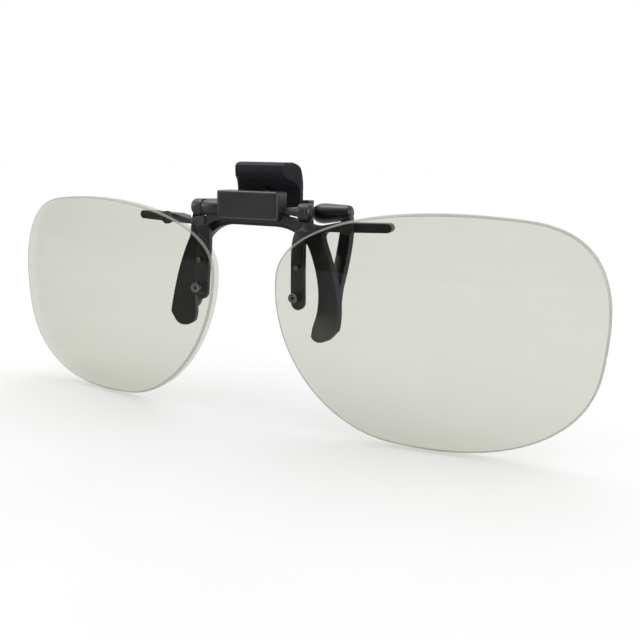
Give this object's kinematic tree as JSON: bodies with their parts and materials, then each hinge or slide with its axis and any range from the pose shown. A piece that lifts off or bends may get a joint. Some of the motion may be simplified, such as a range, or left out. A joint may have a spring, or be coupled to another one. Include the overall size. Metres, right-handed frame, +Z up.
{
  "type": "clip-on flip-up sunglasses",
  "caption": "Rimless tinted lenses on a slim bridge that flips up about a cross rod on a small spring clip with front and rear claws.",
  "frame": {"origin": "middle of the cross rod's axis, on the middle plane of the clip", "axes": "+X towards the lens on the right as seen from the front, -Y the front, +Y towards the wearer, +Z up with the lenses hanging down"},
  "size_m": [0.1276, 0.012, 0.0486],
  "materials": {
    "black_plastic": "satin moulded, soft rounded edges",
    "steel": "ground pin and spring wire",
    "silicone": "soft matte",
    "tinted_lens": "polished, faint green-grey tint, ground edge"
  },
  "bodies": {
    "clip_base": {"front_jaw": "black_plastic", "hinge_rod": "steel", "detent_cam": "steel", "rod_caps": "black_plastic", "front_pads": "silicone", "clamp_spring": "steel"},
    "lens_carrier": {"hinge_housing": "black_plastic", "housing_cover": "black_plastic", "cover_screws": "steel", "detent_leaf": "steel", "lens_bridge": "black_plastic", "left_lens": "tinted_lens", "right_lens": "tinted_lens", "lens_rivets": "black_plastic", "locating_pins": "black_plastic", "lens_washers": "silicone", "wing_buffers": "silicone"},
    "rear_jaw": {"thumb_tab": "black_plastic", "clamp_axle": "steel", "axle_keys": "steel", "rear_claw_left": "black_plastic", "rear_claw_right": "black_plastic", "rear_pads": "silicone"}
  },
  "joints": [
    {"name": "lens_flip", "type": "hinge", "parent": "clip_base", "child": "lens_carrier", "pos_m": [0, 0, 0], "axis": [-1, 0, 0], "range_deg": [0, 90], "deforming": ["detent_leaf"]},
    {"name": "clamp_open", "type": "hinge", "parent": "clip_base", "child": "rear_jaw", "pos_m": [0, 0.0069, -0.00015], "axis": [1, 0, 0], "range_deg": [0, 20], "deforming": ["clamp_spring"]}
  ]
}
